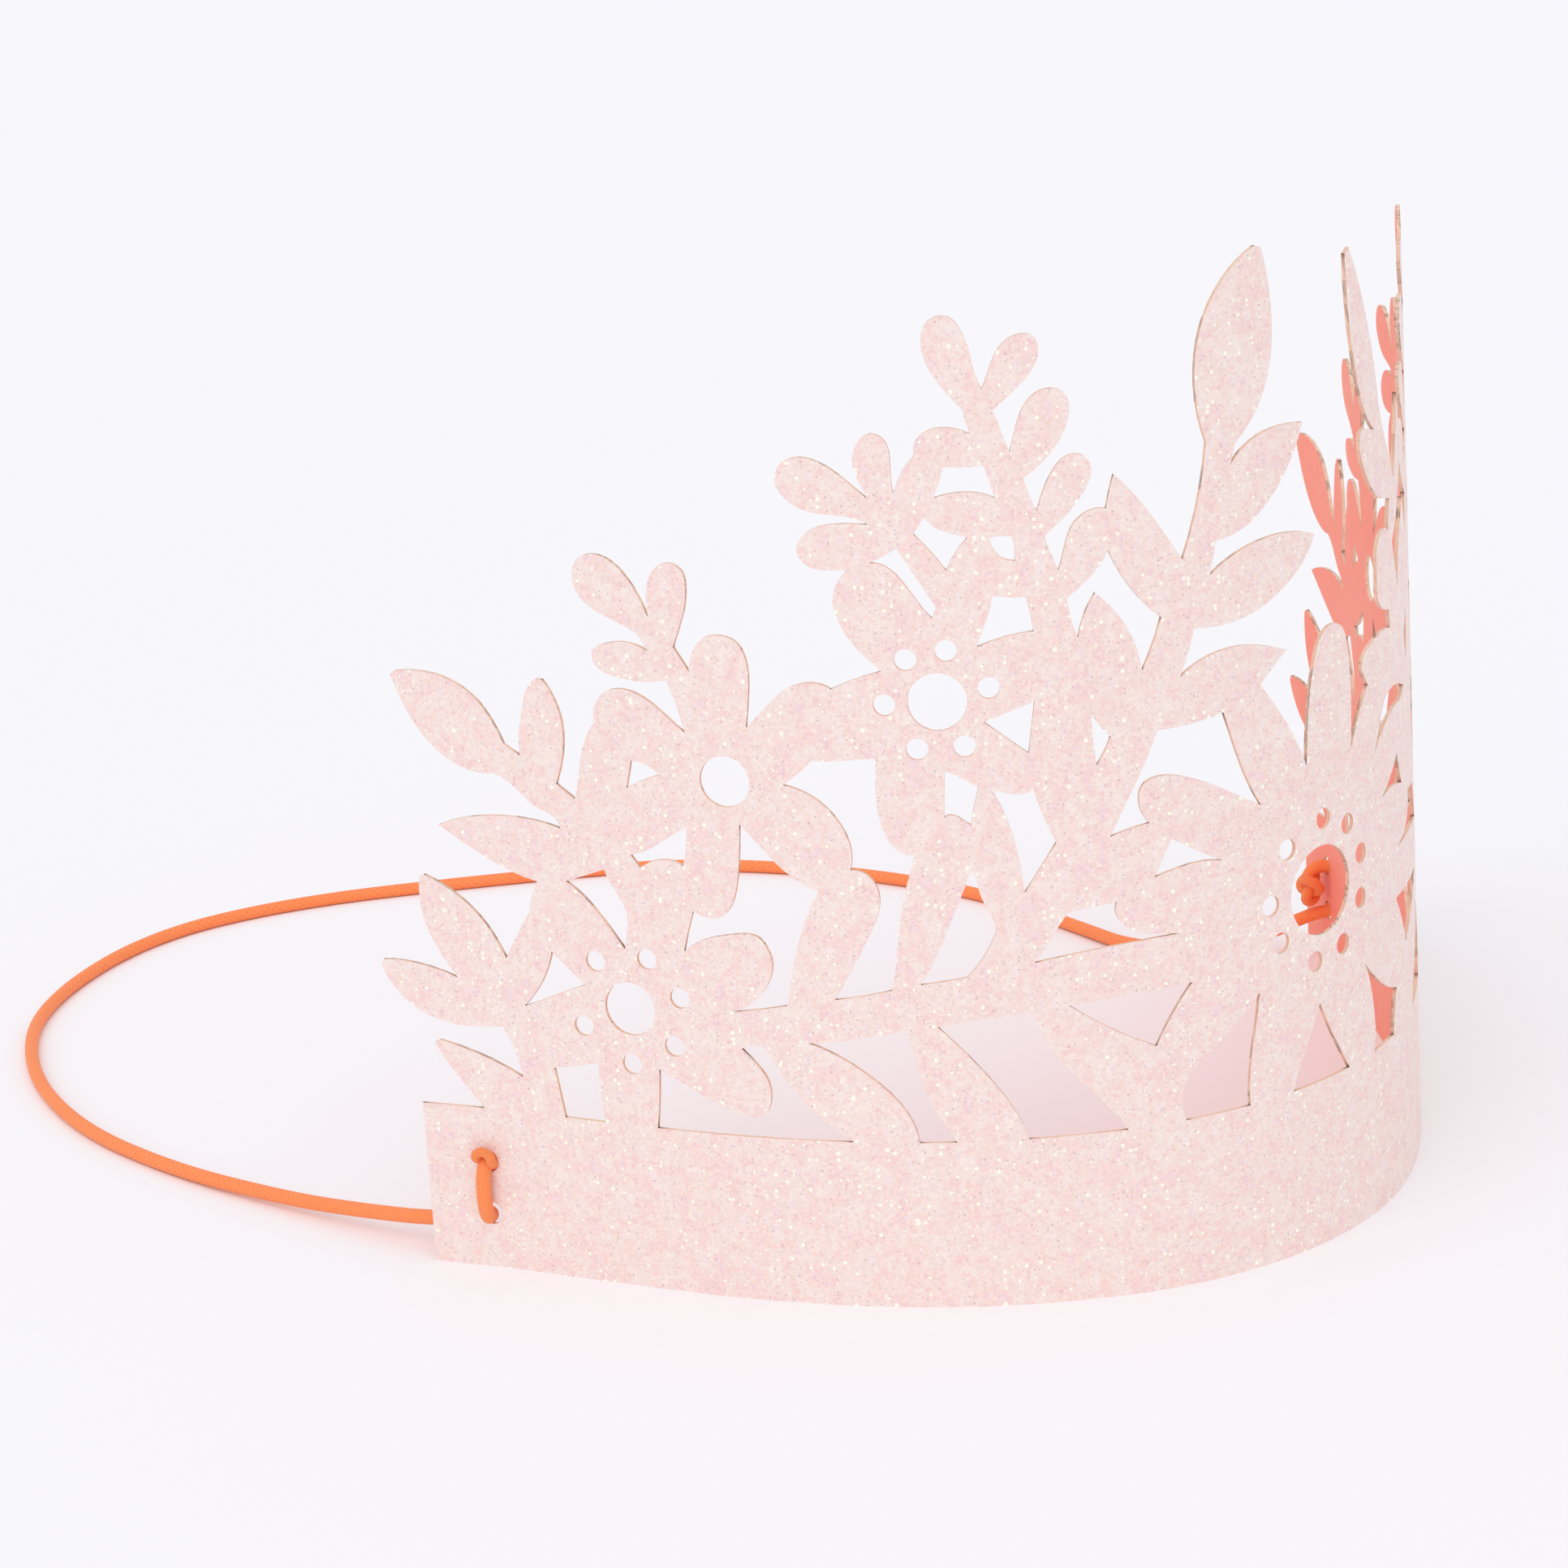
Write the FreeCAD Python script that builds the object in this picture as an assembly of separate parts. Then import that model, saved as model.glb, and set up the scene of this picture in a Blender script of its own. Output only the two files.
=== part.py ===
import FreeCAD, Part
import math
import os

os.makedirs("parts", exist_ok=True)
V = FreeCAD.Vector
V2 = FreeCAD.Base.Vector2d

# Sizes in mm. The sheet stands on the table, its front looks to -Y and its open side to +Y.
half_length = 124.6
crown_height = 129.8
band_height = 22.0
sheet_thickness = 0.5
flower_hole = 7.0
flower_hole_b = 7.2
flower_hole_a = 6.5
daisy_hole = 11.6
petal_hole = 2.7
petal_ring = 7.4
petal_ring_b = 6.45
daisy_ring = 9.2
cord_hole = 3.0
cord_hole_inset = 8.8
cord_hole_low = 7.5
cord_hole_pitch = 7.2
cord_diameter = 2.0
knot_width = 4.8
knot_height = 6.0

# How the sheet is bent, outwards from the middle of the front: length of each stretch and its turn.
bends_right = [(26.6, 28.9), (39.3, 21.6), (32.8, -3.2), (25.9, 15.2)]
bends_left = [(31.1, 34.8), (29.5, 21.7), (25.9, 12.6), (19.3, 2.5), (18.8, -6.2)]
# The bent surface is carried past both ends of the band, because leaves reach over them.
overhang = 8.0
headroom = 12.0
station = 4.0


def walk(distance, bends):
    """Place and direction after walking along tangent arcs that start along +X."""
    x, y, a = 0.0, 0.0, 0.0
    left = distance
    for length, turn in bends:
        part = min(left, length)
        da = math.radians(turn) * part / length
        chord = part if abs(da) < 1e-9 else 2.0 * part / da * math.sin(da / 2.0)
        x += chord * math.cos(a + da / 2.0)
        y += chord * math.sin(a + da / 2.0)
        a += da
        left -= part
        if left <= 0.0:
            return x, y, a
    return x + left * math.cos(a), y + left * math.sin(a), a


def plan(x, inset):
    """Point of the bent sheet seen from above, x mm along it from the middle of the front."""
    px, py, a = walk(abs(x), bends_right if x >= 0.0 else bends_left)
    return V(math.copysign(1.0, x) * (px - inset * math.sin(a)), py + inset * math.cos(a), 0)


def bent_surface(inset, top):
    """The bent face as a surface whose parameters are the flat x and the height z."""
    reach = half_length + overhang
    count = int(math.ceil(2.0 * reach / station))
    xs = [-reach + 2.0 * reach * i / count for i in range(count + 1)]
    line = Part.BSplineCurve()
    line.interpolate(Points=[plan(x, inset) for x in xs], Parameters=xs)
    rows = [[p, p + V(0, 0, top)] for p in line.getPoles()]
    face = Part.BSplineSurface()
    face.buildFromPolesMultsKnots(rows, line.getMultiplicities(), [2, 2], line.getKnots(), [0.0, top],
                                  False, False, line.Degree, 1)
    return face


def flat_place(x, z):
    """Place on the flat sheet, above the table, of a drawn point, which has its z above the band."""
    lift = z * (crown_height - band_height) / drawn_rise if z > 0.0 else z
    return x * half_length / drawn_half_length, band_height + lift


# The drawing is read as flat runs. Each run goes on from the last point of the run before it.
# One further point makes a straight cut, more points make one smooth curve. z is above the band.
def runs_of(start, *runs):
    """Full runs of an outline from its start and the further points of each run."""
    out = []
    last = start
    for run in runs:
        out.append([last] + list(run))
        last = run[-1]
    return out


def closed(runs):
    """The same runs with a straight cut back to the start where one is missing."""
    first, last = runs[0][0], runs[-1][-1]
    return runs if first == last else runs + [[last, first]]


def mirrored(runs):
    """Runs of the other half of the sheet, in the same direction round."""
    return [[(-x, z) for x, z in reversed(run)] for run in reversed(runs)]


def signed_area(runs):
    ring = [p for run in runs for p in run[:-1]]
    return 0.5 * sum(a[0] * b[1] - b[0] * a[1] for a, b in zip(ring, ring[1:] + ring[:1]))


def turned(runs, way):
    """Runs put in the wanted direction round, 1 for counter-clockwise."""
    if signed_area(runs) * way > 0.0:
        return runs
    return [list(reversed(run)) for run in reversed(runs)]


def flat_curve(run):
    pts = [V2(*flat_place(x, z)) for x, z in run]
    if len(pts) == 2:
        return Part.Geom2d.Line2dSegment(pts[0], pts[1])
    curve = Part.Geom2d.BSplineCurve2d()
    curve.interpolate(pts)
    return curve


def punched(x, z, diameter):
    """Two clockwise half circles, z above the table."""
    r = diameter / 2.0
    a, b, c, d = V2(x - r, z), V2(x, z + r), V2(x + r, z), V2(x, z - r)
    return [Part.Geom2d.ArcOfCircle2d(a, b, c), Part.Geom2d.ArcOfCircle2d(c, d, a)]


def outer_edge():
    """Cut line from the left end of the band over the leaves and flowers to the tall spray."""
    return runs_of(
        (-124.6, 0.0),
        [(-115.6, 0.0)],
        [(-117.5, 2.2), (-120.0, 5.3), (-122.0, 8.5)],
        [(-121.3, 8.9)],
        [(-118.0, 8.1), (-114.0, 6.8), (-109.6, 4.8)],
        [(-110.5, 8.5), (-112.0, 11.5)],
        [(-116.0, 11.1), (-120.0, 11.4), (-124.0, 12.9), (-127.0, 15.6), (-128.7, 18.6)],
        [(-128.3, 19.4)],
        [(-124.5, 19.3), (-121.0, 18.6), (-117.9, 17.6)],
        [(-120.0, 20.6), (-121.7, 24.0), (-122.4, 28.0), (-122.2, 30.8)],
        [(-121.5, 31.2)],
        [(-117.3, 29.0), (-113.4, 25.4), (-111.4, 22.3), (-110.6, 20.8)],
        [(-109.3, 23.2), (-106.7, 27.3)],
        [(-106.1, 29.5), (-105.2, 31.5)],
        [(-109.5, 32.8), (-114.0, 35.0), (-118.8, 38.0)],
        [(-115.0, 39.2), (-110.0, 39.8), (-105.0, 39.6), (-101.2, 38.8)],
        [(-102.0, 40.2), (-104.5, 41.4), (-107.2, 43.6), (-110.2, 45.3)],
        [(-114.3, 45.7), (-118.0, 47.8), (-121.5, 52.2), (-123.8, 57.5)],
        [(-123.2, 58.0)],
        [(-119.0, 58.1), (-115.5, 57.2), (-112.0, 54.9), (-110.0, 52.3), (-108.5, 49.3)],
        [(-106.2, 47.9)],
        [(-106.2, 50.5), (-105.4, 54.0), (-104.3, 57.0), (-103.0, 58.1)],
        [(-102.2, 58.0)],
        [(-100.9, 56.0), (-100.0, 53.5), (-99.8, 50.5), (-100.3, 47.5), (-101.3, 44.6)],
        [(-98.8, 42.8)],
        [(-98.0, 46.0), (-97.0, 50.0), (-95.2, 53.0)],
        [(-94.8, 55.5), (-93.0, 57.2), (-91.0, 57.5), (-88.0, 56.5), (-85.0, 54.2), (-82.8, 52.4)],
        [(-83.6, 55.5), (-84.8, 58.9)],
        [(-88.0, 58.6), (-92.0, 59.1), (-94.6, 60.6), (-94.8, 62.0), (-92.5, 63.3), (-90.0, 63.5), (-87.1, 62.5)],
        [(-88.0, 64.2)],
        [(-91.0, 66.0), (-95.0, 68.0), (-96.8, 71.0), (-95.8, 73.8), (-93.5, 74.4), (-91.0, 73.4),
         (-88.8, 71.0), (-87.4, 68.5), (-86.7, 66.8)],
        [(-86.8, 69.0), (-86.3, 71.5), (-85.0, 73.3), (-83.2, 73.7), (-81.8, 72.8), (-81.4, 71.0),
         (-81.8, 68.0), (-82.9, 65.0), (-83.6, 63.2)],
        [(-81.7, 60.2)],
        [(-81.0, 62.8), (-79.5, 64.5), (-77.3, 64.9), (-75.2, 64.0), (-74.2, 62.0), (-74.0, 59.0),
         (-74.4, 55.5), (-74.7, 53.4)],
        [(-72.5, 55.6), (-70.0, 57.9), (-68.0, 58.9), (-66.0, 59.2), (-63.7, 58.4)],
        [(-60.5, 59.7), (-57.4, 60.6)],
        [(-59.0, 62.2), (-61.0, 64.5), (-62.3, 67.0), (-62.8, 69.0), (-62.3, 71.3), (-60.6, 73.3)],
        [(-64.0, 73.2), (-66.0, 74.0), (-66.9, 75.5), (-66.0, 77.4), (-62.5, 78.8), (-57.9, 78.7)],
        [(-60.0, 79.6), (-63.0, 80.0), (-66.0, 80.7), (-68.2, 82.3), (-69.1, 84.0), (-68.6, 85.8),
         (-67.0, 86.9), (-65.0, 86.9), (-62.5, 85.8), (-60.0, 83.8), (-57.9, 81.9)],
        [(-58.8, 84.0), (-59.4, 86.5), (-58.8, 88.5), (-57.0, 89.7), (-55.6, 89.0), (-54.9, 87.0), (-54.7, 82.5)],
        [(-54.0, 84.3), (-52.0, 86.9)],
        [(-51.7, 88.7), (-50.3, 89.8), (-48.0, 90.1), (-45.3, 89.2)],
        [(-46.1, 92.2)],
        [(-48.0, 94.5), (-49.8, 97.3), (-50.5, 100.0), (-50.1, 102.2), (-48.5, 103.4), (-47.0, 103.2),
         (-45.8, 101.8), (-44.8, 98.8), (-43.6, 94.5)],
        [(-42.5, 97.2), (-41.0, 99.7), (-39.0, 100.7), (-37.3, 100.4), (-36.7, 99.0), (-37.3, 96.8),
         (-39.5, 94.3), (-42.4, 91.8)],
        [(-41.6, 89.5), (-40.7, 86.7)],
        [(-40.0, 89.0), (-38.8, 92.0), (-37.2, 93.6), (-35.3, 94.0), (-33.7, 93.1), (-33.3, 91.2),
         (-34.2, 88.5), (-36.0, 86.0), (-39.2, 83.4)],
        [(-38.5, 81.2), (-37.8, 79.3)],
        [(-37.0, 81.5), (-35.5, 84.3), (-33.5, 85.8), (-31.8, 85.5), (-31.0, 84.0), (-31.8, 81.5),
         (-34.0, 78.8), (-37.0, 76.2)],
        [(-36.2, 73.8), (-35.5, 71.9)],
        [(-34.7, 74.5), (-33.3, 77.6), (-31.5, 78.8), (-29.4, 78.9)],
        [(-28.9, 81.0), (-28.3, 82.9)])


def left_spray():
    """Tall spray left of the daisy, from the tip of its side leaf to the daisy's top petal."""
    return runs_of(
        (-28.3, 82.9),
        [(-25.0, 79.2), (-22.5, 75.5), (-19.9, 71.4)],
        [(-18.5, 75.0), (-17.3, 79.0), (-16.1, 85.2)],
        [(-17.0, 88.5), (-17.4, 93.0), (-16.7, 98.0), (-14.7, 102.3), (-11.5, 105.8), (-8.0, 107.8)],
        [(-7.0, 107.4)],
        [(-6.0, 103.0), (-5.6, 98.0), (-6.5, 92.0), (-8.7, 87.8), (-12.0, 84.4)],
        [(-12.7, 82.0)],
        [(-10.5, 83.9), (-7.0, 85.2), (-3.5, 85.4), (-0.8, 85.1)],
        [(-3.0, 81.0), (-6.5, 77.0), (-10.0, 74.4), (-15.2, 73.0)],
        [(-16.2, 68.9)],
        [(-13.0, 70.7), (-8.0, 72.0), (-3.0, 71.9), (0.9, 70.8)],
        [(-1.5, 67.7), (-5.0, 65.3), (-10.0, 63.1), (-15.0, 62.4), (-18.7, 62.6)],
        [(-19.7, 59.5), (-20.8, 56.9)],
        [(-17.5, 58.7), (-13.0, 59.4), (-9.0, 58.8), (-4.8, 57.4)],
        [(-7.0, 55.8), (-9.3, 53.9)],
        [(-6.8, 50.5), (-4.5, 47.0), (-1.9, 41.9)])


def top_petal():
    return runs_of(
        (-1.9, 41.9),
        [(-1.6, 46.0), (-0.9, 51.0), (0.2, 55.0), (1.8, 57.8), (4.0, 58.7), (6.2, 57.8), (7.3, 55.0),
         (7.9, 50.0), (7.6, 41.8)])


def right_spray():
    """Tall spray right of the daisy, which is cut slimmer, from the petal to its side leaf."""
    return runs_of(
        (7.6, 41.8),
        [(10.0, 46.0), (12.4, 48.8)],
        [(11.5, 50.0), (10.8, 51.4), (11.5, 52.6), (14.0, 53.8), (18.0, 54.4), (21.0, 54.0)],
        [(20.5, 56.5)],
        [(18.5, 57.0), (16.5, 58.5), (16.2, 62.0), (16.5, 65.5), (18.0, 67.0), (21.0, 66.6)],
        [(22.0, 70.6)],
        [(20.0, 71.0), (16.5, 72.3), (13.7, 75.3), (11.9, 79.5), (12.3, 81.2), (14.0, 81.3), (16.5, 80.6)],
        [(13.0, 84.5), (11.0, 90.0), (9.5, 98.0), (9.2, 104.0)],
        [(10.3, 104.6)],
        [(13.4, 98.5), (16.0, 92.0), (17.6, 87.0), (18.2, 84.0)],
        [(19.5, 80.8), (22.0, 76.5), (24.5, 72.8)],
        [(26.8, 78.0), (28.3, 82.9)])


# Half length and height above the band of the drawing itself, which is stretched to the sizes.
drawn_half_length = -outer_edge()[0][0][0]
drawn_rise = max(z for run in left_spray() for x, z in run)


def sheet_outline():
    """Whole outer cut line, clockwise from the foot of the left end."""
    left = outer_edge()
    end = drawn_half_length
    runs = [[(-end, -band_height), (-end, 0.0)]]
    runs += left + left_spray() + top_petal() + right_spray() + mirrored(left)
    runs += [[(end, 0.0), (end, -band_height)]]
    return closed(runs)


def shared_cutouts():
    """Openings that are the same in both halves, drawn in the left one."""
    return [
        runs_of((-103.8, 0.0), [(-104.9, 6.6)], [(-98.4, 7.9)], [(-98.3, 3.5), (-98.0, 0.0)]),
        runs_of((-108.5, 14.6), [(-106.0, 17.6), (-104.7, 20.0), (-103.9, 22.3)], [(-99.4, 18.3)],
                [(-101.5, 17.5), (-105.0, 16.0), (-108.5, 14.6)]),
        runs_of((-93.3, 23.6), [(-95.0, 25.9), (-97.7, 29.2), (-101.0, 31.9)],
                [(-98.5, 32.8), (-95.4, 33.9)],
                [(-94.3, 31.6), (-92.6, 28.2), (-92.9, 25.5), (-93.3, 23.6)]),
        runs_of((-91.5, 36.1), [(-89.0, 37.0), (-86.0, 38.8), (-83.5, 40.2)],
                [(-83.7, 38.0), (-84.3, 35.2)],
                [(-86.0, 35.8), (-88.5, 35.5), (-90.3, 34.5)]),
        runs_of((-91.4, 44.8), [(-90.5, 48.4)], [(-89.5, 48.3), (-86.7, 46.8)],
                [(-89.0, 46.0), (-91.4, 44.8)]),
        runs_of((-76.4, 41.0), [(-74.0, 38.4), (-71.3, 35.5), (-69.0, 33.8), (-66.8, 32.7)],
                [(-68.3, 29.8), (-69.9, 25.5), (-71.0, 21.0), (-71.7, 17.7)],
                [(-75.0, 17.1), (-78.9, 16.5)],
                [(-75.8, 18.2), (-74.0, 20.5), (-73.3, 23.0), (-73.8, 25.0), (-75.0, 26.5), (-78.0, 26.7),
                 (-82.0, 25.8), (-85.0, 24.1)],
                [(-84.2, 27.0), (-83.4, 29.4)],
                [(-82.0, 28.8), (-80.0, 28.7), (-78.3, 30.2), (-77.3, 33.0), (-76.7, 37.0), (-76.4, 41.0)]),
        runs_of((-89.7, 8.0), [(-87.0, 6.6), (-83.0, 4.6), (-79.0, 3.0), (-76.5, 2.7), (-75.2, 3.6),
                               (-74.6, 5.5), (-74.8, 7.5), (-76.0, 9.5), (-78.1, 11.7)],
                [(-76.5, 12.2), (-75.0, 12.0)],
                [(-73.0, 8.6), (-70.0, 4.6), (-67.0, 2.0), (-64.2, 0.0)],
                [(-90.5, 0.0)],
                [(-90.0, 4.0), (-89.7, 8.0)]),
        runs_of((-69.3, 12.9), [(-63.0, 13.6), (-58.6, 14.4), (-56.7, 14.6)],
                [(-55.9, 11.0), (-54.5, 6.0), (-52.5, 2.0), (-51.2, 0.0)],
                [(-55.9, 0.0)],
                [(-56.5, 2.5), (-58.3, 5.5), (-61.5, 8.6), (-65.0, 11.0), (-69.3, 12.9)]),
        runs_of((-52.9, 15.2), [(-47.0, 16.0), (-41.4, 16.5)],
                [(-40.0, 13.5), (-38.0, 10.0), (-35.0, 6.5), (-32.0, 3.0), (-29.9, 0.0)],
                [(-42.3, 0.0)],
                [(-43.2, 2.5), (-45.5, 6.5), (-49.0, 11.0), (-52.9, 15.2)]),
        runs_of((-36.6, 17.0), [(-30.0, 17.5), (-20.7, 17.9)], [(-23.0, 15.0), (-25.8, 10.4)],
                [(-29.5, 12.3), (-36.6, 17.0)]),
        runs_of((-40.6, 22.9), [(-39.0, 25.0), (-37.5, 27.3), (-36.2, 29.0)],
                [(-33.0, 29.4), (-30.1, 29.7)],
                [(-30.3, 28.3), (-29.6, 26.9), (-28.0, 25.7), (-25.0, 24.9), (-22.2, 24.5)],
                [(-28.0, 24.3), (-34.0, 23.8), (-40.6, 22.9)]),
        runs_of((-54.7, 20.7), [(-52.0, 25.5), (-50.0, 30.0), (-48.6, 33.2), (-47.8, 35.3)],
                [(-47.2, 34.0), (-46.8, 32.0), (-45.8, 29.7), (-45.2, 27.0)],
                [(-46.5, 24.5), (-48.9, 21.5)],
                [(-51.5, 21.1), (-54.7, 20.7)]),
        runs_of((-65.5, 18.7), [(-63.0, 23.0), (-60.5, 27.5), (-59.3, 30.5), (-59.3, 33.0), (-60.2, 34.6),
                                (-62.6, 35.5)],
                [(-62.3, 37.5), (-63.0, 40.3), (-65.0, 43.3), (-67.5, 45.2), (-70.4, 46.2)],
                [(-68.5, 47.7), (-66.6, 49.4)],
                [(-64.5, 49.3), (-61.5, 49.5), (-58.7, 49.7)],
                [(-58.9, 46.0), (-58.8, 43.0), (-58.2, 40.5), (-56.8, 38.2), (-54.6, 37.3)],
                [(-55.6, 34.0), (-56.8, 29.0), (-57.5, 24.0), (-58.3, 20.0)],
                [(-61.5, 19.3), (-65.5, 18.7)]),
        runs_of((-50.4, 48.0), [(-48.5, 47.0), (-46.4, 45.7)], [(-47.0, 43.5), (-47.5, 41.0)],
                [(-48.3, 41.5), (-49.3, 42.2), (-50.7, 42.1)], [(-50.5, 45.0), (-50.4, 48.0)]),
        runs_of((-44.7, 45.0), [(-42.5, 44.6), (-40.8, 44.5), (-39.8, 45.2)],
                [(-38.7, 41.5), (-37.3, 38.0)],
                [(-39.0, 35.5), (-41.4, 32.0)],
                [(-41.8, 36.0), (-42.8, 40.5), (-44.7, 45.0)]),
        runs_of((-45.3, 53.8), [(-42.0, 55.0), (-39.1, 56.0)], [(-39.6, 53.0), (-40.1, 49.6)],
                [(-42.5, 51.5), (-45.3, 53.8)]),
        runs_of((-32.3, 54.0), [(-31.5, 52.5), (-30.0, 50.7)], [(-30.8, 49.0), (-31.9, 47.3)],
                [(-32.2, 50.5), (-32.3, 54.0)]),
        runs_of((-25.2, 32.2), [(-23.8, 34.8), (-22.8, 36.8)], [(-20.0, 35.0), (-16.0, 32.8)],
                [(-18.5, 33.2), (-21.5, 33.0), (-25.2, 32.2)]),
        runs_of((-45.7, 63.2), [(-44.8, 65.5), (-43.9, 67.8), (-43.6, 69.3)],
                [(-41.0, 69.0), (-39.5, 68.9)],
                [(-39.1, 66.8), (-38.8, 64.7)],
                [(-42.0, 64.3), (-45.7, 63.2)]),
        runs_of((-43.5, 76.5), [(-42.2, 76.6), (-41.0, 76.5)], [(-40.6, 74.8), (-40.7, 73.5)],
                [(-42.4, 74.1), (-43.5, 76.5)]),
        runs_of((-52.6, 77.4), [(-51.2, 79.4)], [(-50.4, 78.4), (-48.5, 77.4), (-46.2, 76.7)],
                [(-47.7, 74.9), (-48.9, 72.8)], [(-50.5, 75.0), (-52.6, 77.4)]),
        runs_of((-49.9, 81.7), [(-49.3, 83.2), (-48.6, 85.4)], [(-46.0, 85.2), (-43.8, 85.3)],
                [(-43.2, 83.2), (-42.7, 81.3)], [(-44.5, 82.0), (-47.2, 82.2), (-49.9, 81.7)]),
        runs_of((-58.1, 74.0), [(-56.3, 74.8), (-54.7, 75.7)],
                [(-53.3, 73.3), (-51.5, 70.3), (-50.3, 68.2)],
                [(-50.9, 67.0)],
                [(-52.5, 69.0), (-54.5, 72.0), (-56.3, 73.6), (-58.1, 74.0)]),
        runs_of((-34.6, 68.4), [(-32.5, 70.0), (-30.5, 72.0), (-29.4, 73.8)],
                [(-28.0, 70.8), (-26.0, 67.8), (-23.0, 64.7)],
                [(-24.0, 62.0), (-25.7, 58.4)],
                [(-26.5, 62.0), (-28.5, 65.8), (-31.2, 68.7)],
                [(-32.5, 66.5), (-33.5, 63.4)],
                [(-34.3, 66.0), (-34.6, 68.4)])]


def own_cutouts():
    """Openings round the daisy, which differ between its left and its right."""
    return [
        runs_of((-30.6, 38.1), [(-28.5, 42.0), (-25.5, 47.5), (-24.1, 50.7)],
                [(-20.0, 50.8), (-15.0, 51.5)],
                [(-14.0, 48.3), (-12.5, 44.0), (-9.8, 38.6)],
                [(-13.0, 40.5), (-18.0, 43.2), (-22.0, 44.7), (-24.5, 44.9), (-26.3, 44.0), (-26.8, 42.3),
                 (-26.4, 40.5), (-25.6, 39.2)],
                [(-28.0, 38.8), (-30.6, 38.1)]),
        runs_of((14.0, 39.3), [(15.5, 42.0), (18.0, 45.5)], [(20.0, 46.0), (24.0, 45.8), (28.0, 44.5)],
                [(26.0, 43.4), (22.0, 43.3), (18.0, 42.2), (14.0, 39.3)]),
        runs_of((-11.0, 14.5), [(-13.0, 12.6), (-16.0, 10.3), (-19.5, 7.8), (-21.7, 5.5), (-22.2, 0.0)],
                [(-13.0, 0.0)],
                [(-12.9, 4.0), (-12.0, 9.0), (-11.0, 14.5)]),
        runs_of((-0.7, 10.4), [(1.5, 6.0), (5.2, 0.0)], [(-6.0, 0.0)],
                [(-4.2, 4.0), (-2.2, 7.5), (-0.7, 10.4)]),
        runs_of((9.6, 12.6), [(12.0, 10.3), (16.0, 7.5), (20.0, 6.0)],
                [(18.8, 3.0), (18.4, 0.0)],
                [(11.7, 0.0)],
                [(12.1, 3.0), (11.8, 6.0), (11.0, 9.5), (9.6, 12.6)])]


def ring_of_holes(x, z, radius, angles):
    return [(x + radius * math.cos(math.radians(a)), z + radius * math.sin(math.radians(a)), petal_hole)
            for a in angles]


def round_holes():
    """Every punched round hole as x, z above the table and diameter."""
    flower_c = flat_place(-93.2, 15.7)
    flower_b = flat_place(-50.8, 56.6)
    flower_a = flat_place(-78.0, 46.4)
    daisy = flat_place(0.4, 25.1)
    half = [flower_c + (flower_hole,), flower_b + (flower_hole_b,), flower_a + (flower_hole_a,)]
    half += ring_of_holes(flower_c[0], flower_c[1], petal_ring, [127, 67, 16, -37, -92, 203])
    half += ring_of_holes(flower_b[0], flower_b[1], petal_ring_b, [124, 78, 13, -62, -115, 182])
    for step in range(2):
        half.append((-half_length + cord_hole_inset, cord_hole_low + step * cord_hole_pitch, cord_hole))
    holes = half + [(-x, z, d) for x, z, d in half]
    holes += [daisy + (daisy_hole,)]
    holes += ring_of_holes(daisy[0], daisy[1], daisy_ring, [132, 86, 51, 15, -22, -64, -101, -147, 179])
    return holes


def sheet_loops():
    """Flat curves of the outer cut line, then of each opening the other way round."""
    loops = [[flat_curve(run) for run in turned(sheet_outline(), 1)]]
    shared = shared_cutouts()
    for runs in shared + [mirrored(r) for r in shared] + own_cutouts():
        loops.append([flat_curve(run) for run in turned(closed(runs), -1)])
    for x, z, d in round_holes():
        loops.append(punched(x, z, d))
    return loops


def cut_wall(outer, inner):
    """Cut face through the card between two matching edges, flat where the card stands on the table."""
    ends = [Part.LineSegment(outer.valueAt(p), inner.valueAt(q)).toShape()
            for p, q in ((outer.FirstParameter, inner.FirstParameter), (outer.LastParameter, inner.LastParameter))]
    if max(v.Z for v in outer.Vertexes) < 0.001:
        return Part.Face(Part.Wire([outer, ends[1], inner, ends[0]]))
    return Part.makeRuledSurface(outer, inner)


def bent_sheet():
    """The one sheet of card, bent upright, with square cut edges through its thickness."""
    top = crown_height + headroom
    front, back = bent_surface(0.0, top), bent_surface(sheet_thickness, top)
    walls, front_wires, back_wires = [], [], []
    for loop in sheet_loops():
        outer = [c.toShape(front) for c in loop]
        inner = [c.toShape(back) for c in loop]
        front_wires.append(Part.Wire(outer))
        back_wires.append(Part.Wire(inner))
        walls += [cut_wall(a, b) for a, b in zip(outer, inner)]
    skin = Part.makeCompound([Part.Face(front_wires), Part.Face(back_wires)] + walls)
    skin.sewShape()
    sheet = Part.Solid(skin.Shells[0])
    if sheet.Volume < 0.0:
        sheet.reverse()
    return sheet


# The cord is tied through the two holes at each end and lies in one loop behind the sheet.
# Its points are in the frame of the finished part, from the left knot to the right one.
cord_route = [
    (-77.0, 35.6, 14.6), (-81.3, 34.0, 14.5), (-81.4, 34.3, 7.4), (-77.1, 36.1, 7.2),
    (-80.2, 44.2, 4.2), (-82.6, 59.6, 2.6), (-84.3, 73.2, 1.6), (-86.2, 96.0, 1.0),
    (-84.2, 121.5, 1.0), (-74.0, 147.5, 1.0), (-56.5, 169.5, 1.0), (-26.0, 183.5, 1.0),
    (0.0, 178.5, 1.0), (27.0, 160.5, 1.0), (51.5, 141.0, 1.0), (64.0, 117.0, 1.0),
    (69.5, 89.5, 1.0), (65.5, 64.0, 1.0), (61.5, 46.0, 1.4), (70.6, 31.4, 3.4),
    (76.3, 25.5, 7.2), (80.0, 22.9, 7.4), (80.0, 22.8, 14.5), (76.2, 25.3, 14.6)]
left_knot_at = (-77.2, 35.6, 11.5)
right_knot_at = (76.4, 25.2, 11.5)


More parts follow.
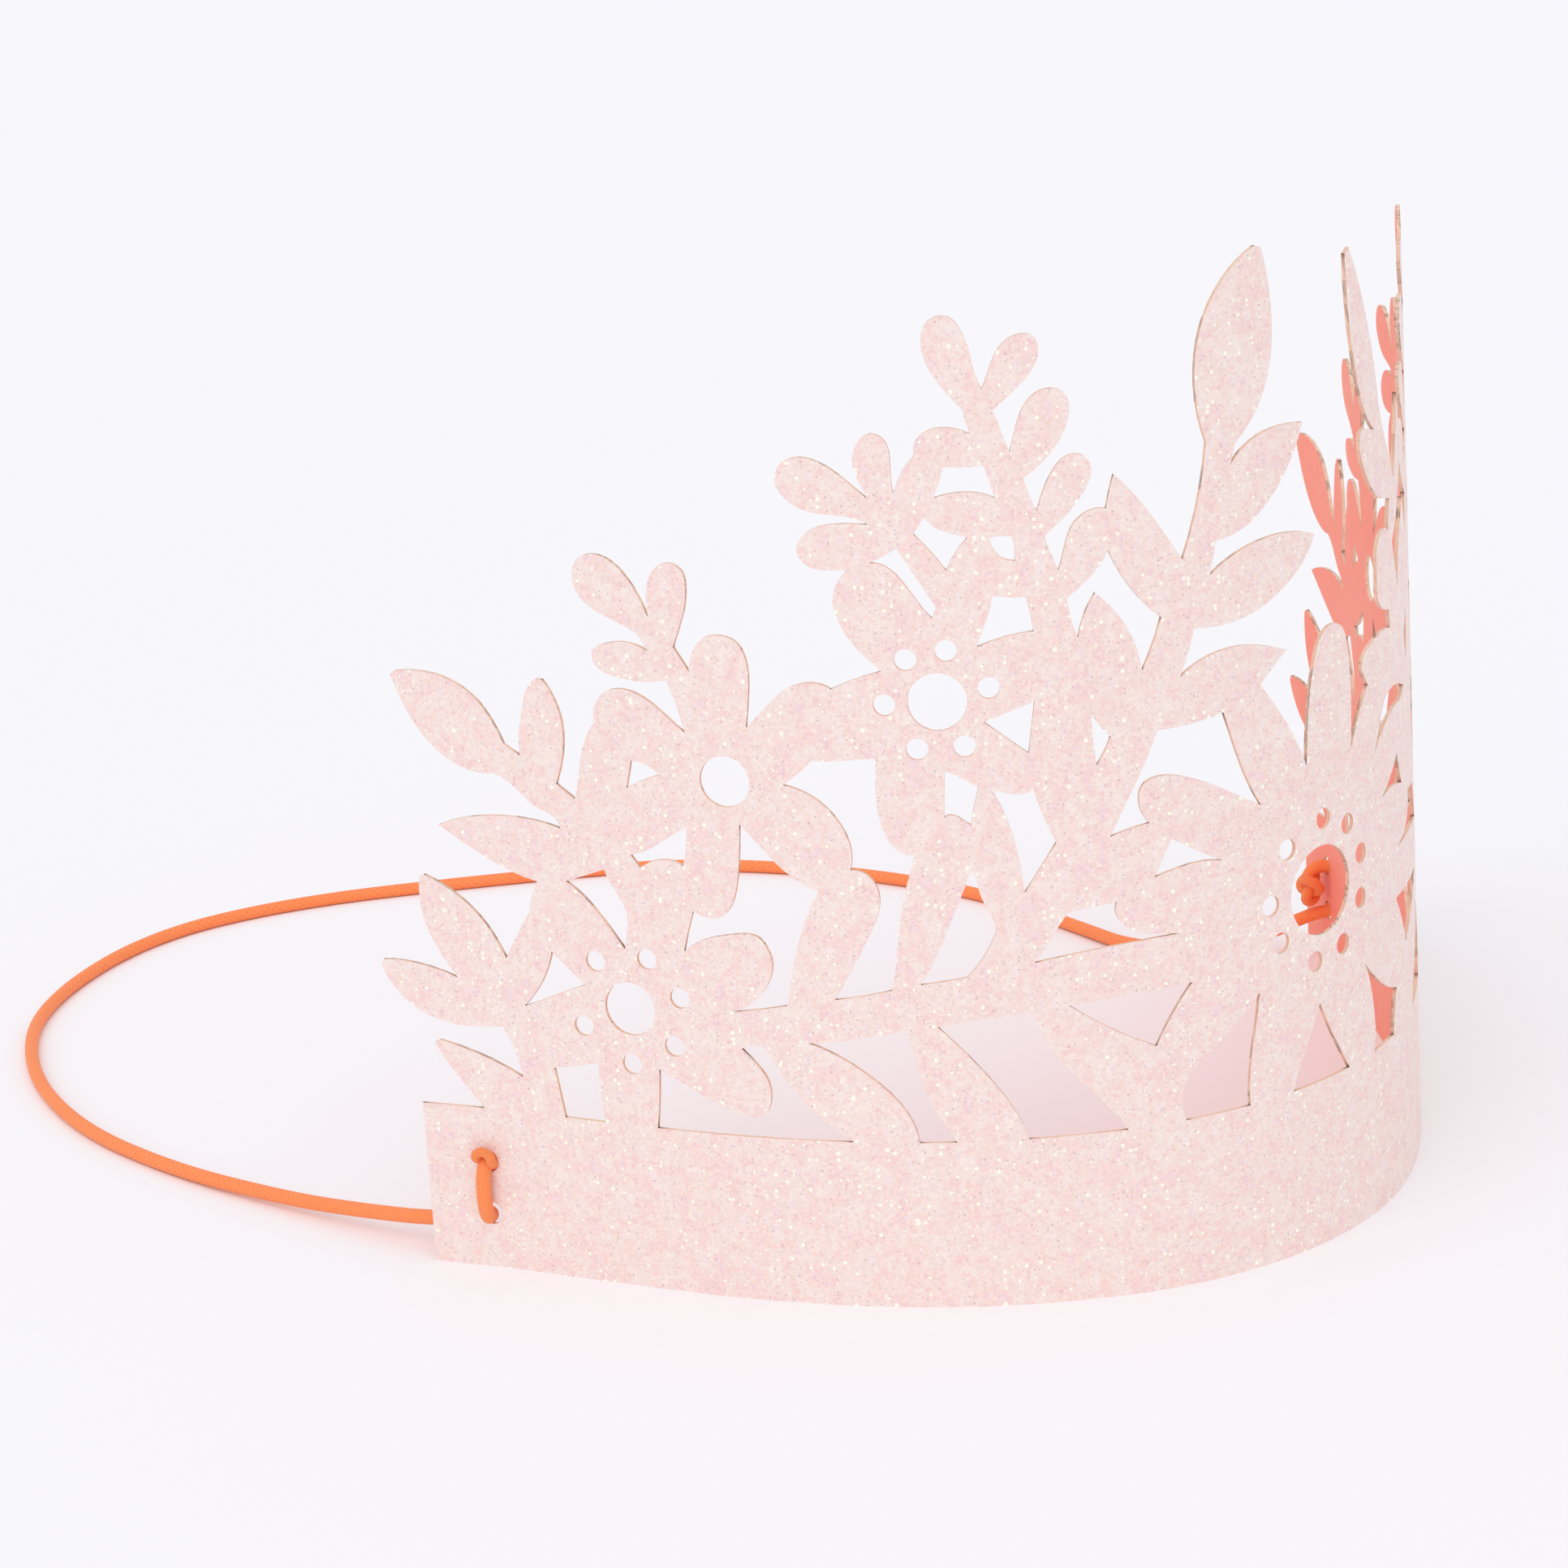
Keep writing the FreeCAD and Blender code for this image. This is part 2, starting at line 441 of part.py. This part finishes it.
def cord_line(points):
    """Straight runs joined by tangent arcs, with the radius of each arc."""
    pts = [V(*p) for p in points]
    edges, radii = [], []
    start = pts[0]
    for before, corner, after in zip(pts, pts[1:], pts[2:]):
        back = (before - corner).normalize()
        ahead = (after - corner).normalize()
        shorter = min(before.distanceToPoint(corner), after.distanceToPoint(corner))
        half_turn = (math.pi - back.getAngle(ahead)) / 2.0
        reach = 0.45 * shorter
        radii.append(reach / math.tan(half_turn))
        a = corner + back * reach
        b = corner + ahead * reach
        middle = (back + ahead).normalize()
        crest = corner + middle * (radii[-1] / math.cos(half_turn) - radii[-1])
        edges.append(Part.LineSegment(start, a).toShape())
        edges.append(Part.Arc(a, crest, b).toShape())
        start = b
    edges.append(Part.LineSegment(start, pts[-1]).toShape())
    return Part.Wire(edges), radii


def cord_tube(points):
    """The free cord as one round tube."""
    line, radii = cord_line(points)
    first = V(*points[0])
    along = V(*points[1]) - first
    ring = Part.Wire(Part.Edge(Part.Circle(first, along, cord_diameter / 2.0)))
    tube = line.makePipeShell([ring], True, False)
    print("cord arc radii", [round(r, 1) for r in radii])
    print("cord length", round(line.Length, 1))
    print("cord volume", round(tube.Volume, 1), "section x length",
          round(math.pi * cord_diameter ** 2 / 4.0 * line.Length, 1))
    return tube


def knot(place, cord):
    """Rounded knob of the tied end, hollowed where the cord runs through it."""
    ball = Part.makeSphere(knot_width / 2.0)
    stretch = FreeCAD.Matrix()
    stretch.scale(1.0, 1.0, knot_height / knot_width)
    knob = ball.transformGeometry(stretch)
    knob.translate(V(*place))
    return knob.cut(cord)


sheet = bent_sheet()
box = sheet.optimalBoundingBox(False, False)
shift = V(-box.Center.x, -box.Center.y, -box.ZMin)
sheet.translate(shift)
cord = cord_tube(cord_route)
nodes = {
    "crown_sheet": sheet,
    "elastic_cord": cord,
    "left_knot": knot(left_knot_at, cord),
    "right_knot": knot(right_knot_at, cord)}
for name, solid in nodes.items():
    solid.exportStep("parts/" + name + ".step")
    print(name, "valid", solid.isValid(), "volume", round(solid.Volume, 1), "solids", len(solid.Solids))
print("shift", [round(v, 3) for v in shift], "box", [round(v, 2) for v in (box.XLength, box.YLength, box.ZLength)])
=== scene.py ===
import bisect
import math
import bpy
from mathutils import Matrix, Vector


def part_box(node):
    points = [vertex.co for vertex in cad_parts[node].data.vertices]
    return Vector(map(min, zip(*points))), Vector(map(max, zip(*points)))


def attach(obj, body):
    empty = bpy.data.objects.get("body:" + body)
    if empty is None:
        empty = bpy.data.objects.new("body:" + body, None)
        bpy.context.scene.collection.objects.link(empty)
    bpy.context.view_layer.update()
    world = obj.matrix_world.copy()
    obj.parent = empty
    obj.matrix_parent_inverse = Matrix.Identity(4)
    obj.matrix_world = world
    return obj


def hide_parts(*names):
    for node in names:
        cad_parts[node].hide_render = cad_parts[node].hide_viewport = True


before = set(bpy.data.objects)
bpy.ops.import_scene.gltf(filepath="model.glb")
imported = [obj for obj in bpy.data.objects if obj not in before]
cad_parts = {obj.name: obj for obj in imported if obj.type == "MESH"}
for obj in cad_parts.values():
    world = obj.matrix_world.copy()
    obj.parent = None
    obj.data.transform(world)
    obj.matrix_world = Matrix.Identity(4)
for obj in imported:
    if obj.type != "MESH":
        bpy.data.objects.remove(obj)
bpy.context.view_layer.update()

# The camera stands off the crown's front left and looks a little down on it, as in the photograph.
# Its place is in metres from the crown's foot, and the lens is set for an image as wide as it is
# high.
camera_place = Vector((-0.42254, -0.38542, 0.22149))
look = Vector((0.66137, 0.69505, -0.28192)).normalized()
level_right = Vector((0.72440, -0.68937, 0.0)).normalized()
level_up = level_right.cross(look)
roll = math.radians(-3.688)
right = level_right * math.cos(roll) + level_up * math.sin(roll)
up = level_up * math.cos(roll) - level_right * math.sin(roll)
lens_data = bpy.data.cameras.new("photo_camera")
lens_data.sensor_width = 36.0
lens_data.lens = 102.48
lens_data.clip_start = 0.02
camera = bpy.data.objects.new("photo_camera", lens_data)
bpy.context.scene.collection.objects.link(camera)
camera_turn = Matrix((right, up, -look)).transposed().to_4x4()
camera.matrix_world = Matrix.Translation(camera_place) @ camera_turn
bpy.context.scene.camera = camera
bpy.context.scene.view_settings.view_transform = "Standard"


# A white sweep of paper under and behind the crown, in a bright even studio.
# One wide soft lamp from the front left shapes the card, and the room fills the rest.
class Tone:
    """A shader socket that takes part in sums."""

    def __init__(self, tree, socket=None):
        self.tree = tree
        self.socket = socket

    def node(self, kind, settings=None, sockets=None, out=0):
        """A new node of the kind, and its output of that number."""
        made = self.tree.nodes.new("ShaderNode" + kind)
        for key, value in (settings or {}).items():
            if key == "stops":
                ramp = made.color_ramp
                while len(ramp.elements) < len(value):
                    ramp.elements.new(0.5)
                for element, (place, colour) in zip(ramp.elements, value):
                    element.position = place
                    element.color = colour
            else:
                setattr(made, key, value)
        for key, value in (sockets or {}).items():
            if isinstance(value, Tone):
                self.tree.links.new(value.socket, made.inputs[key])
            else:
                made.inputs[key].default_value = value
        return Tone(self.tree, made.outputs[out])

    def twin(self, out):
        """Another output of the same node, by its number."""
        return Tone(self.tree, self.socket.node.outputs[out])

    def sum_of(self, operation, first, second=0.0):
        return self.node("Math", {"operation": operation}, {0: first, 1: second})

    def mix(self, first, second):
        """The first colour where this is 0 and the second where it is 1."""
        return self.node("Mix", {"data_type": "RGBA"}, {0: self, 6: first, 7: second}, out=2)

    def __add__(self, other):
        return self.sum_of("ADD", self, other)

    __radd__ = __add__

    def __sub__(self, other):
        return self.sum_of("SUBTRACT", self, other)

    def __rsub__(self, other):
        return self.sum_of("SUBTRACT", other, self)

    def __mul__(self, other):
        return self.sum_of("MULTIPLY", self, other)

    __rmul__ = __mul__

    def __gt__(self, other):
        return self.sum_of("GREATER_THAN", self, other)

    def __lt__(self, other):
        return self.sum_of("LESS_THAN", self, other)


def blank_material(name):
    """A new material with its tree emptied down to the output."""
    material = bpy.data.materials.new(name)
    material.use_nodes = True
    material.node_tree.nodes.clear()
    return material, Tone(material.node_tree)


def finish_material(base, shader):
    """The shader on the material's surface."""
    output = base.tree.nodes.new("ShaderNodeOutputMaterial")
    base.tree.links.new(shader.socket, output.inputs["Surface"])


bpy.ops.object.select_all(action="DESELECT")
bpy.ops.mesh.primitive_plane_add(size=8.0, location=(0.0, 0.0, 0.0))
sweep = bpy.context.active_object
sweep.name = "paper_sweep"
sweep_paper, base = blank_material("sweep_paper")
finish_material(base, base.node("BsdfDiffuse", {}, {"Color": (0.965, 0.962, 0.99, 1.0)}))
sweep.data.materials.append(sweep_paper)

studio = bpy.data.worlds.new("studio")
studio.use_nodes = True
studio.node_tree.nodes.clear()
base = Tone(studio.node_tree)
camera_ray = base.node("LightPath")
glossy_ray, clear_ray = camera_ray.twin(3), camera_ray.twin(6)
white_seen = camera_ray + glossy_ray + clear_ray
room = base.node("Background", {}, {"Color": (0.985, 0.985, 1.0, 1.0), "Strength": 0.835})
white = base.node("Background", {}, {"Color": (0.94, 0.94, 0.972, 1.0), "Strength": 1.0})
both = base.node("MixShader", {}, {0: white_seen, 1: room, 2: white})
world_out = studio.node_tree.nodes.new("ShaderNodeOutputWorld")
studio.node_tree.links.new(both.socket, world_out.inputs["Surface"])
bpy.context.scene.world = studio

lamp_data = bpy.data.lights.new("soft_lamp", "SUN")
lamp_data.energy = 0.62
lamp_data.angle = math.radians(60.0)
lamp = bpy.data.objects.new("soft_lamp", lamp_data)
bpy.context.scene.collection.objects.link(lamp)
towards_lamp = Vector((-0.6, -0.35, 0.8))
lamp.matrix_world = towards_lamp.to_track_quat("Z", "Y").to_matrix().to_4x4()


# The crown is one sheet of craft card, its face coated with fine glitter, its back smooth coral.
# It is laser cut, which leaves the thin edge tan and scorches it in the tight corners, and then
# bent upright to stand on its plain band.
edge_slot, front_slot, back_slot = 0, 1, 2
smooth_angle = math.radians(25.0)
cad_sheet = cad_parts["crown_sheet"]
bpy.ops.object.select_all(action="DESELECT")
crown = bpy.data.objects.new("glitter_crown", cad_sheet.data.copy())
bpy.context.scene.collection.objects.link(crown)
crown.matrix_world = cad_sheet.matrix_world
crown.data.materials.clear()


def glitter_face():
    """Pale pink glitter: mottled lacquer full of flakes, some dark, and a few painted near-white
    as glints where flakes would catch the light.
    """
    material, base = blank_material("pink_glitter")
    place = base.node("TexCoord", out=3)
    mottle = base.node("TexNoise", {}, {
        "Vector": place, "Scale": 430.0, "Detail": 5.0, "Roughness": 0.7})
    tint = base.node("ValToRGB", {"stops": [
        (0.36, (0.90, 0.68, 0.72, 1.0)), (0.44, (0.95, 0.67, 0.61, 1.0)),
        (0.52, (0.92, 0.77, 0.70, 1.0)), (0.60, (0.92, 0.77, 0.75, 1.0)),
        (0.68, (0.95, 0.84, 0.72, 1.0))]}, {"Fac": mottle})
    flakes = base.node("TexVoronoi", {}, {"Vector": place, "Scale": 2600.0}, out=1)
    lean = base.node("SeparateColor", {}, {"Color": flakes})
    flake_tint = base.node("ValToRGB", {"stops": [
        (0.0, (0.84, 0.57, 0.59, 1.0)), (0.3, (0.94, 0.71, 0.68, 1.0)),
        (0.7, (0.95, 0.81, 0.75, 1.0)), (1.0, (1.0, 0.92, 0.86, 1.0))]}, {"Fac": lean})
    ground = base.node("Mix", {"data_type": "RGBA"}, {0: 0.38, 6: tint, 7: flake_tint}, out=2)
    specks = base.node("TexVoronoi", {}, {"Vector": place, "Scale": 2100.0})
    speck_pick = base.node("SeparateColor", {}, {"Color": specks.twin(1)})
    dark = (speck_pick > 0.85) * (specks < 0.27)
    specked = (dark * 0.5).mix(ground, (0.52, 0.33, 0.42, 1.0))
    # Painted highlight: a few scattered flakes are coloured near-white, standing in for the glint
    # of light they catch.
    glint_cells = base.node("TexVoronoi", {}, {"Vector": place, "Scale": 1500.0})
    glint_pick = base.node("SeparateColor", {}, {"Color": glint_cells.twin(1)})
    crowd = base.node("TexNoise", {}, {"Vector": place, "Scale": 150.0, "Detail": 1.0})
    bright = (glint_pick + crowd * 0.35 > 1.015) * (glint_cells < glint_pick.twin(1) * 0.34 + 0.10)
    shown = bright.mix(specked, (1.0, 1.0, 0.84, 1.0))
    bump = base.node("Bump", {}, {"Strength": 0.4, "Distance": 0.00006, "Height": lean.twin(1)})
    shader = base.node("BsdfPrincipled", {}, {
        "Base Color": shown, "Roughness": 0.6 - lean.twin(2) * 0.25, "Normal": bump})
    finish_material(base, shader)
    return material


def coral_back():
    """Smooth coral card, with the faint cloud of paper fibre."""
    material, base = blank_material("coral_card")
    place = base.node("TexCoord", out=3)
    fibre = base.node("TexNoise", {}, {"Vector": place, "Scale": 900.0, "Detail": 5.0})
    cloud = base.node("TexNoise", {}, {"Vector": place, "Scale": 60.0, "Detail": 2.0})
    tint = base.node("ValToRGB", {"stops": [
        (0.35, (1.0, 0.285, 0.20, 1.0)), (0.65, (1.0, 0.345, 0.25, 1.0))]},
        {"Fac": fibre * 0.4 + cloud * 0.6})
    bump = base.node("Bump", {}, {"Strength": 0.2, "Distance": 0.00005, "Height": fibre})
    finish_material(base, base.node("BsdfPrincipled", {}, {
        "Base Color": tint, "Roughness": 0.6, "Normal": bump}))
    return material


def cut_edge():
    """Laser cut through the card: light tan, browned in the corners where the beam turned."""
    material, base = blank_material("cut_edge")
    place = base.node("TexCoord", out=3)
    grain = base.node("TexNoise", {}, {"Vector": place, "Scale": 1500.0, "Detail": 3.0})
    patch = base.node("TexNoise", {}, {"Vector": place, "Scale": 230.0, "Detail": 2.0})
    tan = base.node("ValToRGB", {"stops": [
        (0.25, (0.78, 0.50, 0.36, 1.0)), (0.75, (0.93, 0.70, 0.54, 1.0))]},
        {"Fac": patch * 0.6 + grain * 0.4})
    near_corner = base.node("Attribute", {"attribute_name": "scorch"}, out=2)
    burn = base.sum_of("POWER", near_corner, 4.0)
    browned = burn.mix(tan, (0.25, 0.13, 0.085, 1.0))
    finish_material(base, base.node("BsdfPrincipled", {}, {
        "Base Color": browned, "Roughness": 0.8}))
    return material


def select_none(kind):
    """Deselects all, ready for faces or edges to be picked by their place."""
    bpy.ops.object.mode_set(mode="EDIT")
    bpy.ops.mesh.select_mode(type=kind)
    bpy.ops.mesh.select_all(action="DESELECT")
    bpy.ops.object.mode_set(mode="OBJECT")


for finish in (cut_edge(), glitter_face(), coral_back()):
    crown.data.materials.append(finish)
bpy.context.view_layer.objects.active = crown
crown.select_set(True)
bpy.ops.object.mode_set(mode="EDIT")
bpy.ops.mesh.select_all(action="SELECT")
bpy.ops.mesh.remove_doubles(threshold=0.000002)
bpy.ops.object.mode_set(mode="OBJECT")
card = crown.data
for polygon in card.polygons:
    polygon.material_index = edge_slot
mid_front = Vector((-0.0086, -0.0464, 0.010))
mid_back = Vector((-0.0086, -0.0459, 0.010))
for slot, middle, outward in ((front_slot, mid_front, -1.0), (back_slot, mid_back, 1.0)):
    select_none("FACE")
    upright = [p for p in card.polygons if p.normal.y * outward > 0.9 and abs(p.normal.z) < 0.05]
    min(upright, key=lambda p: (p.center - middle).length).select = True
    bpy.ops.object.mode_set(mode="EDIT")
    bpy.ops.mesh.faces_select_linked_flat(sharpness=smooth_angle)
    crown.active_material_index = slot
    bpy.ops.object.material_slot_assign()
    bpy.ops.object.mode_set(mode="OBJECT")
bpy.ops.object.shade_smooth_by_angle(angle=smooth_angle)

# Scorch: full at each sharp corner of the cut, and gone a short way along its edge.
sliver_area = 0.00000002
corner_cosine = 0.7
long_edge = 0.001
walls = {}
for polygon in card.polygons:
    if polygon.material_index == edge_slot and polygon.area > sliver_area:
        for v in polygon.vertices:
            walls.setdefault(v, []).append(polygon.normal.copy())
corners = {v for v, facings in walls.items()
           if min(facing.dot(facings[0]) for facing in facings) < corner_cosine}
select_none("EDGE")
for edge in card.edges:
    a, b = edge.vertices
    apart = (card.vertices[a].co - card.vertices[b].co).length
    if a in corners and b in corners and apart > long_edge:
        edge.select = True
bpy.ops.object.mode_set(mode="EDIT")
bpy.ops.mesh.subdivide(number_cuts=7)
bpy.ops.object.mode_set(mode="OBJECT")
scorch = card.attributes.new("scorch", "FLOAT", "POINT")
for v in corners:
    scorch.data[v].value = 1.0


def bearing(place):
    """Angle round the crown from the middle of its front."""
    return math.atan2(place.x, -place.y)


# The bend runs straight up the card, so each face is shaded as the foot line below it turns.
foot = {v for p in card.polygons if p.material_index == front_slot
        for v in p.vertices if card.vertices[v].co.z < 0.00001}
foot = sorted((card.vertices[v].co.copy() for v in foot), key=bearing)
ways = []
for a, b in zip(foot, foot[1:]):
    ways.append((bearing((a + b) / 2.0), Vector(((b - a).y, (a - b).x, 0.0)).normalized()))
bearings = [way[0] for way in ways]
normals = [corner.vector.copy() for corner in card.corner_normals]
for polygon in card.polygons:
    if polygon.material_index == edge_slot:
        continue
    side = 1.0 if polygon.material_index == front_slot else -1.0
    for corner in polygon.loop_indices:
        at = bearing(card.vertices[card.loops[corner].vertex_index].co)
        after = min(max(bisect.bisect(bearings, at), 1), len(ways) - 1)
        low, high = ways[after - 1], ways[after]
        share = min(max((at - low[0]) / (high[0] - low[0]), 0.0), 1.0)
        normals[corner] = side * low[1].lerp(high[1], share).normalized()
card.normals_split_custom_set(normals)
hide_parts("crown_sheet")
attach(crown, "root")


# One length of round braided elastic, dyed orange, is threaded out and in through the two holes
# of each end of the band. It lies in a loose loop on the table behind the crown.
cord_route = [
    (-0.0766, 0.0357, 0.0122), (-0.0770, 0.0355, 0.0147), (-0.08135, 0.03415, 0.0149),
    (-0.08135, 0.03415, 0.0069), (-0.0780, 0.0363, 0.0067), (-0.0802, 0.0442, 0.0042),
    (-0.0826, 0.0596, 0.0026), (-0.0843, 0.0732, 0.0016), (-0.0862, 0.0960, 0.0010),
    (-0.0842, 0.1215, 0.0010), (-0.0740, 0.1475, 0.0010), (-0.0565, 0.1695, 0.0010),
    (-0.0260, 0.1835, 0.0010), (0.0000, 0.1785, 0.0010), (0.0270, 0.1605, 0.0010),
    (0.0515, 0.1410, 0.0010), (0.0640, 0.1170, 0.0010), (0.0695, 0.0895, 0.0010),
    (0.0655, 0.0640, 0.0010), (0.0615, 0.0460, 0.0014), (0.0706, 0.0314, 0.0034),
    (0.0763, 0.0255, 0.0072), (0.0800, 0.0229, 0.0074), (0.0800, 0.0228, 0.0145),
    (0.0762, 0.0253, 0.0147), (0.0759, 0.0255, 0.0122)]
cord_diameter = 0.0020


def elastic_braid():
    """Orange braid: two sets of fine yarns that cross round the core, close and nearly smooth,
    with painted shade in the grooves between the yarns.
    """
    material, base = blank_material("elastic_braid")
    wrap = base.node("SeparateXYZ", {}, {"Vector": base.node("TexCoord", out=2)})
    one = base.sum_of("SINE", (wrap * 520.0 + wrap.twin(1) * 6.0) * math.tau)
    two = base.sum_of("SINE", (wrap * 520.0 - wrap.twin(1) * 6.0) * math.tau)
    yarn = base.sum_of("MAXIMUM", one, two) * 0.5 + 0.5
    place = base.node("TexCoord", out=3)
    fuzz = base.node("TexNoise", {}, {"Vector": place, "Scale": 1800.0, "Detail": 3.0})
    # Painted shade: the colour runs from lit orange on the yarn crests to a shaded orange in the
    # grooves between them.
    tint = base.node("ValToRGB", {"stops": [
        (0.1, (0.96, 0.205, 0.055, 1.0)), (0.6, (1.0, 0.275, 0.08, 1.0)),
        (1.0, (1.0, 0.32, 0.11, 1.0))]},
        {"Fac": yarn * 0.5 + fuzz * 0.5})
    bump = base.node("Bump", {}, {
        "Strength": 0.35, "Distance": 0.00008, "Height": yarn + fuzz * 0.3})
    finish_material(base, base.node("BsdfPrincipled", {}, {
        "Base Color": tint, "Roughness": 0.75, "Sheen Weight": 0.1, "Normal": bump}))
    return material


def smooth_line(name, points):
    """A smooth open line drawn by its control points."""
    data = bpy.data.curves.new(name, "CURVE")
    data.dimensions = "3D"
    data.resolution_u = 12
    line = data.splines.new("NURBS")
    line.points.add(len(points) - 1)
    for point, place in zip(line.points, points):
        point.co = (*place, 1.0)
    line.order_u = 3
    line.use_endpoint_u = True
    made = bpy.data.objects.new(name, data)
    bpy.context.scene.collection.objects.link(made)
    return made


elastic = elastic_braid()
cord_line = smooth_line("cord_line", cord_route)
drawn = cord_line.evaluated_get(bpy.context.evaluated_depsgraph_get())
line_points = [v.co.copy() for v in bpy.data.meshes.new_from_object(drawn).vertices]
cord_line.name = "orange_cord"
cord_line.data.bevel_depth = cord_diameter / 2.0
cord_line.data.bevel_resolution = 5
cord_line.data.use_fill_caps = True
cord_line.data.materials.append(elastic)
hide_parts("elastic_cord")
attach(cord_line, "root")


# Each end of the elastic is tied inside the band in a small overhand knot, pulled tight.
# At the left end one turn of the knot is drawn out through the upper hole, over the outer stretch.
def tied_cord(name, points, thickness, ring):
    """A piece of the elastic drawn along points, closed into a ring or left open."""
    made = smooth_line(name, points)
    made.data.splines[0].use_endpoint_u = not ring
    made.data.splines[0].use_cyclic_u = ring
    made.data.resolution_u = 6
    made.data.bevel_depth = thickness / 2.0
    made.data.bevel_resolution = 4
    made.data.use_fill_caps = True
    made.data.materials.append(elastic)
    return made


knot_thickness = 0.00164
knot_across = 0.00057
knot_upward = 0.00073
knot_depth = 0.0010
upward = Vector((0.0, 0.0, 1.0))
knot_places = (("left_tied_knot", "left_knot", Vector((0.93, 0.36, 0.0)).normalized()),
               ("right_tied_knot", "right_knot", Vector((-0.86, 0.5, 0.0)).normalized()))
for name, node, inward in knot_places:
    low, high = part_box(node)
    centre = (Vector(low) + Vector(high)) / 2.0
    along = upward.cross(inward)
    turns = []
    for step in range(30):
        t = math.tau * step / 30.0
        across = (math.sin(t) + 2.0 * math.sin(2.0 * t)) * knot_across
        height = (math.cos(t) - 2.0 * math.cos(2.0 * t)) * knot_upward
        depth = -math.sin(3.0 * t) * knot_depth
        turns.append(centre + along * across + upward * height + inward * depth)
    knot = tied_cord(name, turns, knot_thickness, True)
    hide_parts(node)
    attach(knot, "root")

drawn_thin = 0.0013
hole_middle = Vector((-0.08014, 0.03445, 0.0147))
inward = knot_places[0][2]
along = upward.cross(inward)
turn_points = [hole_middle + along * a + inward * d + upward * h for a, d, h in (
    (0.0006, 0.0024, -0.0010), (0.0008, 0.0008, 0.0002), (0.0011, -0.0010, 0.0005),
    (0.0009, -0.0012, 0.0014), (-0.0003, -0.0013, 0.0018), (-0.0011, -0.0011, 0.0011),
    (-0.0012, -0.0010, -0.0001), (-0.0008, 0.0008, -0.0004), (-0.0006, 0.0024, -0.0010))]
knot_turn = tied_cord("left_knot_turn", turn_points, drawn_thin, False)
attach(knot_turn, "root")
